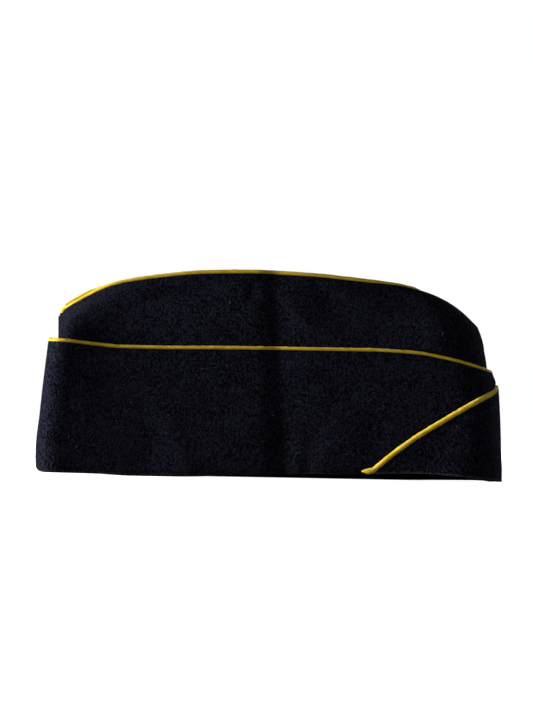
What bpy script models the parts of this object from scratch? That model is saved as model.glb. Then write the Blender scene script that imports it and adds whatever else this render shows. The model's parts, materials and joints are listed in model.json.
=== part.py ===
"""A garrison cap of dark wool cloth with gold piping, at its real size, in metres.

The cap stands on its rim, slightly open, as it is left on a shelf. +Z is up, the front of the cap is
at +X and the wearer's right side is at -Y. The origin is on the shelf, under the middle of the cap.

Places on the cap are given by two numbers. The first, called u, runs round the cap: 0 is the middle
of the front, -1 and 1 are the middle of the back, and it is negative on the wearer's right. The
second is a height, or a share of one. How far a layer of cloth lies outside the inner face of the
crown is its depth.
"""

import bpy
import numpy as np

MM = 0.001

# The whole cap
CAP_LENGTH = 286 * MM
CAP_WIDTH = 60 * MM
CAP_HEIGHT = 128 * MM
CURTAIN_HEIGHT = 79.7 * MM

# Cloth and piping
CROWN_CLOTH = 1.8 * MM
CURTAIN_CLOTH = 2.4 * MM
GUSSET_CLOTH = 1.5 * MM
PIPING_DIAMETER = 2.9 * MM

# Room between the layers
SEAM_GAP = 0.4 * MM
SEAT_GAP = 0.4 * MM
FIT_GAP = 0.7 * MM
OVERLAP_GAP = 0.9 * MM

# The crown
CROWN_TAPER = 5.2 * MM
RIDGE_SPREAD = 17 * MM
LEFT_RIDGE_RISE = 2 * MM
GUSSET_DEPTH = 17 * MM

# The power that the plan's fullness is raised to at the back and at the front: at the shelf, and how
# much it changes up to the curtain's top. The back one gives way to the front one between two cosines.
BACK_ROUNDING = (0.5, -0.2)
FRONT_ROUNDING = (0.5, 0.25)
ROUNDING_CHANGES = (-0.5, 0.5)

# The powers by which a crown panel leans in and is drawn along towards its upper edge
SHOULDER = 1.4
EDGE_DRAW = 1.6

# The curtains and their hem
HEM_DEPTH = 9 * MM
FOLD_RISE = 1.5 * MM
RIM_ARCH = 4.3 * MM
SIDE_STANDOFF = 0.6 * MM
BACK_STANDOFF = 2.6 * MM

# The storage crease across the cap: a steep flank towards the back and a long one towards the front.
# Its place is x at half the curtain's height, and its lean is x per z.
CREASE_PLACE = 6.7 * MM
CREASE_LEAN = -0.066
CREASE_BACK = (11 * MM, 1.3)
CREASE_FRONT = (30 * MM, 3)
CREASE_BLUNT = 1.2 * MM
CREASE_DEPTH = 1.8 * MM

# How finely the cloth is divided. The columns of the crease are shares of its back flank's width from
# its place, and those of the back corner are cosines.
COLUMNS = 30
STRIP_SHARE = 0.004
CREASE_COLUMNS = (-1.3, -0.9, -0.45, -0.1, 0.25, 0.7, 1.5)
CORNER_COLUMNS = (-0.983, -0.958, -0.928, -0.895, -0.855, -0.81)
LOWER_ROWS = 4
UPPER_ROWS = 8
HEM_ROWS = 2
FOLD_ROWS = 4
LEG_ROWS = 5
GUSSET_ROWS = 8

# Where one layer changes to another, in u
LAYER_CHANGE = (0.09, 0.19)
HIDDEN_FLAP_END = 0.0625
FLAP_END = 0.344
DIAGONAL_END = 0.366

# Where the crown's side rounds over to its front seam, and where the ridge piping moves in between
# the panels and sinks, as shares of the cap's length from its middle
ROUNDING = (0.2, 0.39)
PIPING_MOVES_IN = (0.2, 0.29)
PIPING_SINKS = (0.295, 0.345)
PIPING_ENDS = (-0.427, 0.342)
GUSSET_ENDS = (-0.436, 0.385)


class Table:
    """Rows of numbers with named columns, read smoothly between the rows by their first column."""

    def __init__(self, columns, *rows):
        self.columns = columns.split()
        self.rows = np.array(rows)

    def read(self, column, at):
        """A cubic through the rows, whose slope is the harmonic mean of the slopes on both sides."""
        place = self.rows[:, 0]
        value = self.rows[:, self.columns.index(column)]
        width = np.diff(place)
        rise = np.diff(value) / width
        slope = np.concatenate([rise[:1], np.zeros(len(place) - 2), rise[-1:]])
        before, after = rise[:-1], rise[1:]
        steady = before * after > 0
        total = np.where(steady, before + after, 1)
        slope[1:-1] = np.where(steady, 2 * before * after / total, 0)
        at = np.clip(at, place[0], place[-1])
        i = np.clip(np.searchsorted(place, at) - 1, 0, len(width) - 1)
        t = (at - place[i]) / width[i]
        start = value[i] * (1 + 2 * t) * (1 - t) ** 2 + slope[i] * width[i] * t * (1 - t) ** 2
        end = value[i + 1] * t * t * (3 - 2 * t) + slope[i + 1] * width[i] * t * t * (t - 1)
        return start + end


# The walls seen from above. Along runs from -1 at the back to 1 at the front, and fullness is the
# square of the share of the full half width. Near the back each side has a pressed corner, with a
# hollow ahead of it.
PLAN = Table(
    "along fullness",
    (-1.000, 0.000),
    (-0.993, 0.360),
    (-0.985, 0.580),
    (-0.971, 0.830),
    (-0.956, 0.945),
    (-0.942, 0.986),
    (-0.930, 1.000),
    (-0.915, 0.993),
    (-0.898, 0.974),
    (-0.880, 0.954),
    (-0.860, 0.935),
    (-0.840, 0.919),
    (-0.820, 0.907),
    (-0.800, 0.898),
    (-0.770, 0.888),
    (-0.700, 0.878),
    (-0.600, 0.880),
    (-0.450, 0.900),
    (-0.300, 0.922),
    (-0.120, 0.942),
    (0.050, 0.953),
    (0.400, 0.960),
    (0.600, 0.957),
    (0.700, 0.950),
    (0.800, 0.930),
    (0.850, 0.909),
    (0.885, 0.878),
    (0.920, 0.808),
    (0.950, 0.675),
    (0.975, 0.430),
    (0.990, 0.200),
    (1.000, 0.000),
)

# How far the crown's two ends lean inwards. Height is a share of the curtain's, lean of the length.
CROWN_ENDS = Table(
    "height back_lean front_lean",
    (0.00, 0.0010, 0.0000),
    (0.10, 0.0006, 0.0004),
    (0.18, 0.0014, 0.0020),
    (0.27, 0.0038, 0.0036),
    (0.36, 0.0075, 0.0048),
    (0.45, 0.0113, 0.0062),
    (0.60, 0.0166, 0.0092),
    (0.72, 0.0210, 0.0119),
    (0.86, 0.0266, 0.0140),
    (0.95, 0.0301, 0.0175),
    (1.02, 0.0329, 0.0220),
)

# The crown's upper edge. Along is a share of the cap's length from its middle, rise a share of the
# crown's height above the curtain, half_gap a share of half the ridge spread, and left_rise a share
# of how much higher the left ridge is.
RIDGE = Table(
    "along rise half_gap left_rise",
    (-0.452, 0.375, 0.00, 0.0),
    (-0.444, 0.436, 0.00, 0.3),
    (-0.433, 0.490, 0.42, 0.6),
    (-0.425, 0.520, 0.49, 0.9),
    (-0.397, 0.624, 0.60, 0.9),
    (-0.366, 0.728, 0.71, 0.3),
    (-0.335, 0.806, 0.79, 0.0),
    (-0.300, 0.859, 0.86, 0.0),
    (-0.241, 0.918, 0.93, 0.0),
    (-0.145, 0.983, 0.98, 0.0),
    (-0.040, 1.000, 1.00, 0.0),
    (0.080, 0.972, 1.00, 0.0),
    (0.176, 0.920, 0.93, 0.0),
    (0.272, 0.848, 0.74, 0.0),
    (0.322, 0.776, 0.56, 0.0),
    (0.347, 0.721, 0.45, 0.0),
    (0.364, 0.671, 0.30, 0.0),
    (0.377, 0.628, 0.00, 0.0),
    (0.403, 0.514, 0.00, 0.0),
    (0.436, 0.319, 0.00, 0.0),
)

# The middle of a curtain's piping, on the curtain's own side. Along runs from -1 at the back to 1 at
# the front, and height is a share of the curtain's.
CURTAIN_TOP = Table(
    "along right left",
    (-1.000, 1.035, 1.035),
    (-0.934, 1.029, 1.029),
    (-0.822, 1.008, 1.008),
    (-0.688, 0.991, 0.991),
    (-0.500, 0.990, 0.990),
    (-0.200, 0.997, 0.997),
    (0.455, 1.000, 1.000),
    (0.657, 0.987, 0.984),
    (0.791, 0.951, 0.930),
    (0.859, 0.925, 0.875),
    (0.926, 0.891, 0.800),
    (0.957, 0.872, 0.765),
    (0.981, 0.857, 0.742),
    (0.995, 0.845, 0.735),
    (1.000, 0.835, 0.733),
)

# The left curtain's piping past the middle of the front, where it slants down to the rim.
DIAGONAL = Table(
    "along height",
    (0.400, 0.068),
    (0.450, 0.072),
    (0.484, 0.113),
    (0.514, 0.159),
    (0.643, 0.330),
    (0.772, 0.473),
    (0.901, 0.607),
    (0.957, 0.664),
    (0.981, 0.688),
    (0.995, 0.712),
    (1.000, 0.733),
)

# The right curtain's piping past the middle of the front, where it dips under the left curtain.
HIDDEN_TOP = Table(
    "along height",
    (0.950, 0.600),
    (0.981, 0.700),
    (0.995, 0.800),
    (1.000, 0.835),
)

# How high each side of the rim is lifted off the shelf, as a share of the highest arch.
RIM_LIFT = Table(
    "along right left",
    (-1.00, 0.28, 0.28),
    (-0.75, 0.20, 0.16),
    (-0.60, 0.00, 0.10),
    (-0.42, 0.00, 0.00),
    (-0.08, 0.42, 0.00),
    (0.42, 0.78, 0.00),
    (0.62, 1.00, 0.00),
    (0.75, 0.90, 0.06),
    (0.93, 0.40, 0.12),
    (1.00, 0.05, 0.05),
)

PIPING_RADIUS = PIPING_DIAMETER / 2
FIRST_LAYER = CROWN_CLOTH + FIT_GAP
SECOND_LAYER = FIRST_LAYER + CURTAIN_CLOTH + OVERLAP_GAP
INNER_BACK = -CAP_LENGTH / 2 + FIRST_LAYER + CURTAIN_CLOTH
INNER_FRONT = CAP_LENGTH / 2 - SECOND_LAYER - CURTAIN_CLOTH
INNER_HALF_WIDTH = CAP_WIDTH / 2 - FIRST_LAYER - CURTAIN_CLOTH
CROWN_RISE = CAP_HEIGHT - CURTAIN_HEIGHT - 2 * PIPING_RADIUS - SEAT_GAP


def smooth_step(start, end, value):
    """0 before start, 1 after end, and an S-shaped curve in between."""
    t = np.clip((value - start) / (end - start), 0, 1)
    return t * t * (3 - 2 * t)


def columns_between(first, last):
    """Values of u, closer together in the crease and the corner, with a narrow strip at each seam."""
    steps = np.arange(0, COLUMNS + 1) / COLUMNS
    crease = (CREASE_PLACE + CREASE_BACK[0] * np.array(CREASE_COLUMNS)) / (CAP_LENGTH / 2)
    close = [np.arccos(places) / np.pi for places in (crease, np.array(CORNER_COLUMNS))]
    margin = 0.4 / COLUMNS
    for u in close:
        steps = steps[(steps < u.min() - margin) | (steps > u.max() + margin)]
    half = np.concatenate([steps, *close, [STRIP_SHARE, 1 - STRIP_SHARE]])
    both = np.concatenate([-half, half])
    return np.unique(np.concatenate([[first], both[(both > first) & (both < last)], [last]]))


def crease(x, z):
    """How far the storage crease pushes the cloth towards the left side.

    Each flank falls from 1 at the middle to 0 at its width as (1 - d / width) to its power, where the
    distance d is rounded near the middle.
    """
    middle = CREASE_PLACE + CREASE_LEAN * (z - CURTAIN_HEIGHT / 2)
    distance = np.hypot(x - middle, CREASE_BLUNT) - CREASE_BLUNT
    (back_width, back_power), (front_width, front_power) = CREASE_BACK, CREASE_FRONT
    back = np.clip(1 - distance / back_width, 0, 1) ** back_power
    front = np.clip(1 - distance / front_width, 0, 1) ** front_power
    return CREASE_DEPTH * np.where(x < middle, back, front)


def rim_height(u):
    """The lowest point of the folded rim above the shelf."""
    along = np.cos(np.pi * u)
    lift = np.where(u < 0, RIM_LIFT.read("right", along), RIM_LIFT.read("left", along))
    return RIM_ARCH * lift


def crown_bottom(u):
    """The lower edge of the crown, which hangs inside the fold of the hem."""
    return rim_height(u) + CURTAIN_CLOTH + FOLD_RISE


def body_plan(u, height, depth, side):
    """A place on the cap's walls, which lean inwards going up.

    Seen from above, x follows the cosine of u, and y the square root of the plan's fullness there.
    Going up the power grows at the front, where the cap gets narrower, and falls at the back, where
    its corner gets squarer. Depth widens the wall both ways.
    """
    share = height / CURTAIN_HEIGHT
    back = INNER_BACK + CAP_LENGTH * CROWN_ENDS.read("back_lean", share)
    front = INNER_FRONT - CAP_LENGTH * CROWN_ENDS.read("front_lean", share)
    taper = np.minimum(share, 1)
    width = INNER_HALF_WIDTH - CROWN_TAPER * taper
    along = np.cos(np.pi * u)
    inner_x = (front + back) / 2 + (front - back) / 2 * along
    at_front = smooth_step(*ROUNDING_CHANGES, along)
    back_power = BACK_ROUNDING[0] + BACK_ROUNDING[1] * taper
    front_power = FRONT_ROUNDING[0] + FRONT_ROUNDING[1] * taper
    swell = PLAN.read("fullness", along) ** (back_power * (1 - at_front) + front_power * at_front)
    y = side * (SEAM_GAP / 2 + (width + depth) * swell)
    return inner_x + depth * along, y + crease(inner_x, height)


def crown_edge(u, side):
    """x, half gap and height of the crown's upper edge, along the ridge and down the front seam."""
    first, last = RIDGE.rows[0, 0], RIDGE.rows[-1, 0]
    along = first + (last - first) * (1 + np.cos(np.pi * u)) / 2
    half_gap = SEAM_GAP / 2 + RIDGE_SPREAD / 2 * RIDGE.read("half_gap", along)
    rise = CURTAIN_HEIGHT + CROWN_RISE * RIDGE.read("rise", along)
    if side > 0:
        rise = rise + LEFT_RIDGE_RISE * RIDGE.read("left_rise", along)
    return CAP_LENGTH * along, half_gap, rise


def side_panel_points(side):
    """A crown panel: straight walls up to the curtain's top, then leaning in to the upper edge.

    Above the curtain the half width falls from the wall's to the ridge's along a power of the height
    share, and near the front seam along a quarter of an ellipse, so that the two panels meet there in
    a round front.
    """
    u = columns_between(-1, 0) if side < 0 else columns_between(0, 1)
    u = u[:, None]
    share = np.linspace(0, 1, LOWER_ROWS + 1)
    height = crown_bottom(side * np.abs(u)) * (1 - share) + CURTAIN_HEIGHT * share
    x, y = body_plan(u, height, 0, side)
    lower = np.stack([x, y, height], axis=2)

    top_x, half_gap, top = crown_edge(u, side)
    share = np.sin(np.pi / 2 * np.linspace(0, 1, UPPER_ROWS + 1)[1:])
    share = 0.5 * share + 0.5 * np.linspace(0, 1, UPPER_ROWS + 1)[1:]
    round_share = smooth_step(*ROUNDING, top_x / CAP_LENGTH)
    fall = (1 - round_share) * share**SHOULDER + round_share * (1 - np.sqrt(1 - share**2))
    base_x = lower[:, -1:, 0]
    base_y = side * (lower[:, -1:, 1] - crease(base_x, CURTAIN_HEIGHT))
    height = CURTAIN_HEIGHT + (top - CURTAIN_HEIGHT) * share
    x = base_x + (top_x - base_x) * share**EDGE_DRAW
    y = side * (base_y + (half_gap - base_y) * fall) + crease(x, height)
    upper = np.stack([x, y, height], axis=2)
    return np.concatenate([lower, upper], axis=1)


def ridge_sink(x):
    """How far the ridge piping and the gusset's edge drop between the panels at the front."""
    return (PIPING_DIAMETER + SEAT_GAP) * smooth_step(*PIPING_SINKS, x / CAP_LENGTH)


def ridge_piping_path(side):
    """Along the crown's upper edge, half a diameter clear of it, square to its slope."""
    u = columns_between(-1, 0)
    x, half_gap, height = crown_edge(u, side)
    seen = (x >= PIPING_ENDS[0] * CAP_LENGTH) & (x <= PIPING_ENDS[1] * CAP_LENGTH)
    slope = np.arctan2(np.gradient(height), np.gradient(x))
    reach = PIPING_RADIUS + SEAT_GAP
    inwards = reach * smooth_step(*PIPING_MOVES_IN, x / CAP_LENGTH)
    y = np.maximum(half_gap - SEAT_GAP - inwards, PIPING_RADIUS + SEAM_GAP / 2)
    height = height + reach * np.cos(slope) - ridge_sink(x)
    x = x - reach * np.sin(slope)
    return np.stack([x, side * y + crease(x, height), height], axis=1)[seen]


def gusset_points():
    """The folded-in top: across the cap it is half an ellipse, hung between the two ridges.

    Its front end is a narrow tongue that dips under the front seam and closes the opening there.
    """
    u = columns_between(-1, 0)
    x, half_gap, right = crown_edge(u, -1)
    left = crown_edge(u, 1)[2]
    half = half_gap - SEAT_GAP - GUSSET_CLOTH
    inside = (half > GUSSET_CLOTH / 2) | (x > 0)
    inside &= (x >= GUSSET_ENDS[0] * CAP_LENGTH) & (x <= GUSSET_ENDS[1] * CAP_LENGTH)
    x, half, right, left = (values[inside, None] for values in (x, half, right, left))
    half = np.maximum(half, GUSSET_CLOTH)
    depth = GUSSET_DEPTH * np.sqrt(half / half.max())
    turn = np.linspace(np.pi / 2, -np.pi / 2, GUSSET_ROWS + 1)
    across = np.sin(turn)
    edge = right + (left - right) * (1 + across) / 2 - ridge_sink(x)
    y = half * across + crease(x, edge)
    return np.stack([x + 0 * y, y, edge - depth * np.cos(turn)], axis=2)


def layer_depth(u, height, side):
    """The inner face of a curtain: on the crown, or over the other curtain past the front."""
    over = 0 if side < 0 else 1 - smooth_step(*LAYER_CHANGE, u)
    share = height / CURTAIN_HEIGHT
    at_back = smooth_step(0.7, 1.0, -np.cos(np.pi * u))
    standoff = SIDE_STANDOFF * share + BACK_STANDOFF * at_back * share**0.7
    return FIRST_LAYER + (SECOND_LAYER - FIRST_LAYER) * over + standoff


def curtain_piping_height(u, side):
    """The middle of the piping: level on the curtain's own side, slanting down on the other."""
    along = np.cos(np.pi * u)
    own = CURTAIN_TOP.read("right" if side < 0 else "left", along)
    past_front = (HIDDEN_TOP if side < 0 else DIAGONAL).read("height", along)
    return CURTAIN_HEIGHT * np.where(u * side >= 0, own, past_front)


def curtain_piping_path(u, side):
    """Over the middle of the curtain's cloth: half a thickness square to the line of its inner face."""
    height = curtain_piping_height(u, side)
    x, y = body_plan(u, height, layer_depth(u, height, side), np.sign(u))
    run = np.concatenate([[0], np.cumsum(np.hypot(np.diff(x), np.diff(y)))])
    towards_x, towards_y = np.gradient(x, run), np.gradient(y, run)
    length = np.hypot(towards_x, towards_y)
    x = x + CURTAIN_CLOTH / 2 * towards_y / length
    y = y - CURTAIN_CLOTH / 2 * towards_x / length
    return np.stack([x, y, height], axis=1)


def curtain_points(side):
    """A curtain in section: up inside the crown, folded under its edge, and up outside it.

    The fold is half an ellipse between the inner and the outer face. Past the middle of the front
    only the outer part goes on, as a flap. Returns the points and which faces exist.
    """
    reach = (-1, HIDDEN_FLAP_END) if side < 0 else (-FLAP_END, 1)
    u = columns_between(*reach)
    path = curtain_piping_path(u, side)
    step = np.diff(path, axis=0)
    slope = np.abs(np.arctan2(step[:, 2], np.hypot(step[:, 0], step[:, 1])))
    steeper = np.maximum(np.append(slope, slope[-1]), np.append(slope[0], slope))
    top = path[:, 2] - (PIPING_RADIUS + SEAT_GAP) / np.cos(steeper)
    u, top = u[:, None], top[:, None]
    rim, fold = rim_height(u), crown_bottom(u)

    inner = -FIT_GAP
    outer = layer_depth(u, fold, side)
    share = np.linspace(0, 1, HEM_ROWS + 1)[:-1]
    hem_height = fold + HEM_DEPTH * (1 - share)
    hem_depth = inner + 0 * hem_height
    turn = np.linspace(0, np.pi, FOLD_ROWS + 1)[:-1]
    fold_depth = (inner + outer) / 2 - (outer - inner) / 2 * np.cos(turn)
    fold_height = fold - FOLD_RISE * np.sin(turn)

    own_side = u * side >= STRIP_SHARE
    under_flap = rim if side > 0 else fold
    leg_bottom = np.where(own_side, fold, under_flap)
    share = np.linspace(0, 1, LEG_ROWS + 1)
    leg_height = leg_bottom * (1 - share) + top * share
    leg_depth = layer_depth(u, leg_height, side)

    height = np.concatenate([hem_height, fold_height, leg_height], axis=1)
    depth = np.concatenate([hem_depth, fold_depth, leg_depth], axis=1)
    x, y = body_plan(u, height, depth, np.sign(u))
    kept = np.ones((len(u) - 1, height.shape[1] - 1), bool)
    hem_columns = own_side[:-1, 0] & own_side[1:, 0]
    kept[~hem_columns, : HEM_ROWS + FOLD_ROWS] = False
    return np.stack([x, y, height], axis=2), kept


def new_material(name, colour, roughness, sheen):
    material = bpy.data.materials.new(name)
    material.use_nodes = True
    shader = material.node_tree.nodes["Principled BSDF"]
    shader.inputs["Base Color"].default_value = (*colour, 1)
    shader.inputs["Roughness"].default_value = roughness
    shader.inputs["Metallic"].default_value = 0
    shader.inputs["Sheen Weight"].default_value = sheen
    material.diffuse_color = (*colour, 1)
    return material


def new_object(name, data, material, collection):
    data.materials.append(material)
    obj = bpy.data.objects.new(name, data)
    collection.objects.link(obj)
    return obj


def cloth(name, points, thickness, material, collection, kept=None):
    """A sheet through a grid of points, thickened to the side that its faces point to."""
    columns, rows = points.shape[:2]
    index = np.arange(columns * rows).reshape(columns, rows)
    corners = (index[:-1, :-1], index[1:, :-1], index[1:, 1:], index[:-1, 1:])
    faces = np.stack(corners, axis=2).reshape(-1, 4)
    if kept is not None:
        faces = faces[kept.reshape(-1)]
    used, faces = np.unique(faces, return_inverse=True)
    mesh = bpy.data.meshes.new(name)
    mesh.from_pydata(points.reshape(-1, 3)[used].tolist(), [], faces.reshape(-1, 4).tolist())
    mesh.shade_smooth()
    obj = new_object(name, mesh, material, collection)
    wall = obj.modifiers.new("cloth thickness", "SOLIDIFY")
    wall.thickness = thickness
    wall.offset = 1
    return obj


def piping(name, path, material, collection):
    """A round cord of cloth along a path."""
    curve = bpy.data.curves.new(name, "CURVE")
    curve.dimensions = "3D"
    curve.bevel_depth = PIPING_RADIUS
    curve.bevel_resolution = 2
    curve.use_fill_caps = True
    spline = curve.splines.new("POLY")
    spline.points.add(len(path) - 1)
    spline.points.foreach_set("co", np.column_stack([path, np.ones(len(path))]).ravel())
    return new_object(name, curve, material, collection)


def build():
    for obj in list(bpy.data.objects):
        bpy.data.objects.remove(obj)
    collection = bpy.data.collections.new("garrison_cap")
    bpy.context.scene.collection.children.link(collection)
    wool = new_material("dark wool", (0.006, 0.0063, 0.0105), 0.95, 0.3)
    gold = new_material("gold piping", (0.46, 0.31, 0.035), 0.8, 0.2)

    for side, word in ((-1, "right"), (1, "left")):
        panel = side_panel_points(side)
        cloth(f"side_panel_{word}", panel, CROWN_CLOTH, wool, collection)
        piping(f"ridge_piping_{word}", ridge_piping_path(side), gold, collection)
        points, kept = curtain_points(side)
        cloth(f"curtain_{word}", points, CURTAIN_CLOTH, wool, collection, kept)
        reach = (-1, HIDDEN_FLAP_END) if side < 0 else (-DIAGONAL_END, 1)
        path = curtain_piping_path(columns_between(*reach), side)
        piping(f"curtain_piping_{word}", path, gold, collection)
    cloth("top_gusset", gusset_points(), GUSSET_CLOTH, wool, collection)


build()
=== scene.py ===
# %% [markdown]
# # A garrison cap of dark wool with gold piping
#
# A garrison cap is a flat folding cap of thick milled wool. Two side panels are sewn together at the
# front and the back, a narrow strip is folded in between them at the top, and an outer band, the
# curtain, is turned up round the sides. Gold piping is sewn into the edges. This lesson dresses the
# solid model of such a cap with finer cloth, piping, stitches and lint, gives each its finish, and
# lights it softly on a pale floor.
#
# The solid model comes first. It is a fixed frame: the pieces below are made round it and stand in its
# place.

import json
import math

import bpy
import numpy as np
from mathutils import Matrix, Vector

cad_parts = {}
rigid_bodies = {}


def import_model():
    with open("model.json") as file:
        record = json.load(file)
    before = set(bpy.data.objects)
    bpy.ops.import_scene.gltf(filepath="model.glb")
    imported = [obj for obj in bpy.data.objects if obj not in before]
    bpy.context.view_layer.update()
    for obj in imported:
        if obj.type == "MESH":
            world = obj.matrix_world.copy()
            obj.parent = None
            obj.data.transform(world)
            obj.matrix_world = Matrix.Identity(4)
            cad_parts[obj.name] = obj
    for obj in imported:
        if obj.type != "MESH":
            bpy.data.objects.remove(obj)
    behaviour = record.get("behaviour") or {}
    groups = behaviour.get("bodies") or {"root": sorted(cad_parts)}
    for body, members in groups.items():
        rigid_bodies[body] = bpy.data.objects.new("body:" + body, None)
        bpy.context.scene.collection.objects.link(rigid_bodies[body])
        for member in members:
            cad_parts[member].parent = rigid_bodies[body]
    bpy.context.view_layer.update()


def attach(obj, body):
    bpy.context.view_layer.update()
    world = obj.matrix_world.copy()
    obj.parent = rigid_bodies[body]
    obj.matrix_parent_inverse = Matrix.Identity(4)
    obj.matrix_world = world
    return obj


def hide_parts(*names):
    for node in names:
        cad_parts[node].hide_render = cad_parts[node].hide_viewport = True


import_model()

# %% [markdown]
# ## The sizes
#
# A cap is drafted from a few sizes: its length, width and height, how high the curtain stands, and how
# thick the cloth is. The solid model was built from the same ones. Every place on the cap is then
# given by two numbers. The first, u, runs round the cap: 0 is the middle of the front, -1 and 1 are
# the middle of the back, and it is negative on the wearer's right. The second is a height. How far a
# layer of cloth lies outside the crown's inner face is its depth.

# %% The sizes of the cap, in metres
MM = 0.001

CAP_LENGTH = 286 * MM
CAP_WIDTH = 60 * MM
CAP_HEIGHT = 128 * MM
CURTAIN_HEIGHT = 79.7 * MM
CROWN_CLOTH = 1.8 * MM
CURTAIN_CLOTH = 2.4 * MM
GUSSET_CLOTH = 1.5 * MM
PIPING_RADIUS = 1.45 * MM
SEAT_GAP = 0.4 * MM
FIT_GAP = 0.7 * MM
OVERLAP_GAP = 0.9 * MM
# The solids keep a gap at the seams. Here the sewn pieces overlap, so that no light passes between.
SEAM_GAP = -0.2 * MM

CROWN_TAPER = 5.2 * MM
RIDGE_SPREAD = 17 * MM
LEFT_RIDGE_RISE = 2 * MM
GUSSET_DEPTH = 17 * MM
HEM_DEPTH = 9 * MM
FOLD_RISE = 1.5 * MM
RIM_ARCH = 4.3 * MM
SIDE_STANDOFF = 0.6 * MM
BACK_STANDOFF = 2.6 * MM

# The power that the plan's fullness is raised to at both ends: at the floor, and how much it changes
# up to the curtain's top. Then the powers by which a crown panel leans in and is drawn along.
BACK_ROUNDING = (0.5, -0.2)
FRONT_ROUNDING = (0.5, 0.25)
ROUNDING_CHANGES = (-0.5, 0.5)
SHOULDER = 1.4
EDGE_DRAW = 1.6

SIDES = {-1: "right", 1: "left"}
FIRST_LAYER = CROWN_CLOTH + FIT_GAP
SECOND_LAYER = FIRST_LAYER + CURTAIN_CLOTH + OVERLAP_GAP
INNER_BACK = -CAP_LENGTH / 2 + FIRST_LAYER + CURTAIN_CLOTH
INNER_FRONT = CAP_LENGTH / 2 - SECOND_LAYER - CURTAIN_CLOTH
INNER_HALF_WIDTH = CAP_WIDTH / 2 - FIRST_LAYER - CURTAIN_CLOTH
CROWN_RISE = CAP_HEIGHT - CURTAIN_HEIGHT - 2 * PIPING_RADIUS - SEAT_GAP
print("crown above the curtain, mm:", round(CROWN_RISE / MM, 1))

# %% [markdown]
# ## Tables for the curves
#
# A cap has no simple geometry: its ridge, curtain and rim are drawn as a pattern cutter would draw them.
# Each such curve is a short table with named columns. Reading a table between its rows with straight
# lines would leave corners, and an ordinary cubic would overshoot. So the slope at each row is the
# harmonic mean of the slopes on both sides, which keeps the curve between its rows.

# %% A table that is read smoothly


class Table:
    """Rows of numbers with named columns, read smoothly between the rows by their first column."""

    def __init__(self, columns, *rows):
        self.columns = columns.split()
        self.rows = np.array(rows)

    def read(self, column, at):
        """A cubic through the rows, whose slope is the harmonic mean of the slopes on both sides."""
        place = self.rows[:, 0]
        value = self.rows[:, self.columns.index(column)]
        width = np.diff(place)
        rise = np.diff(value) / width
        slope = np.concatenate([rise[:1], np.zeros(len(place) - 2), rise[-1:]])
        before, after = rise[:-1], rise[1:]
        steady = before * after > 0
        total = np.where(steady, before + after, 1)
        slope[1:-1] = np.where(steady, 2 * before * after / total, 0)
        at = np.clip(at, place[0], place[-1])
        i = np.clip(np.searchsorted(place, at) - 1, 0, len(width) - 1)
        t = (at - place[i]) / width[i]
        start = value[i] * (1 + 2 * t) * (1 - t) ** 2 + slope[i] * width[i] * t * (1 - t) ** 2
        end = value[i + 1] * t * t * (3 - 2 * t) + slope[i + 1] * width[i] * t * t * (t - 1)
        return start + end


def smooth_step(start, end, value):
    """0 before start, 1 after end, and an S-shaped curve in between."""
    t = np.clip((value - start) / (end - start), 0, 1)
    return t * t * (3 - 2 * t)


# %% The curves of this cap
# The walls seen from above. Fullness is the square of the share of the full half width. Near the back
# each side has a pressed corner, with a hollow ahead of it.
PLAN = Table(
    "along fullness",
    (-1.000, 0.000),
    (-0.993, 0.360),
    (-0.985, 0.580),
    (-0.971, 0.830),
    (-0.956, 0.945),
    (-0.942, 0.986),
    (-0.930, 1.000),
    (-0.915, 0.993),
    (-0.898, 0.974),
    (-0.880, 0.954),
    (-0.860, 0.935),
    (-0.840, 0.919),
    (-0.820, 0.907),
    (-0.800, 0.898),
    (-0.770, 0.888),
    (-0.700, 0.878),
    (-0.600, 0.880),
    (-0.450, 0.900),
    (-0.300, 0.922),
    (-0.120, 0.942),
    (0.050, 0.953),
    (0.400, 0.960),
    (0.600, 0.957),
    (0.700, 0.950),
    (0.800, 0.930),
    (0.850, 0.909),
    (0.885, 0.878),
    (0.920, 0.808),
    (0.950, 0.675),
    (0.975, 0.430),
    (0.990, 0.200),
    (1.000, 0.000),
)

# How far the crown's two ends lean inwards. Height is a share of the curtain's, lean of the length.
CROWN_ENDS = Table(
    "height back_lean front_lean",
    (0.00, 0.0010, 0.0000),
    (0.10, 0.0006, 0.0004),
    (0.18, 0.0014, 0.0020),
    (0.27, 0.0038, 0.0036),
    (0.36, 0.0075, 0.0048),
    (0.45, 0.0113, 0.0062),
    (0.60, 0.0166, 0.0092),
    (0.72, 0.0210, 0.0119),
    (0.86, 0.0266, 0.0140),
    (0.95, 0.0301, 0.0175),
    (1.02, 0.0329, 0.0220),
)

# The crown's upper edge: along the cap's length, as shares of the rise, the spread and the difference.
RIDGE = Table(
    "along rise half_gap left_rise",
    (-0.452, 0.375, 0.00, 0.0),
    (-0.444, 0.436, 0.00, 0.3),
    (-0.433, 0.490, 0.42, 0.6),
    (-0.425, 0.520, 0.49, 0.9),
    (-0.397, 0.624, 0.60, 0.9),
    (-0.366, 0.728, 0.71, 0.3),
    (-0.335, 0.806, 0.79, 0.0),
    (-0.300, 0.859, 0.86, 0.0),
    (-0.241, 0.918, 0.93, 0.0),
    (-0.145, 0.983, 0.98, 0.0),
    (-0.040, 1.000, 1.00, 0.0),
    (0.080, 0.972, 1.00, 0.0),
    (0.176, 0.920, 0.93, 0.0),
    (0.272, 0.848, 0.74, 0.0),
    (0.322, 0.776, 0.56, 0.0),
    (0.347, 0.721, 0.45, 0.0),
    (0.364, 0.671, 0.30, 0.0),
    (0.377, 0.628, 0.00, 0.0),
    (0.403, 0.514, 0.00, 0.0),
    (0.436, 0.319, 0.00, 0.0),
)

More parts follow.
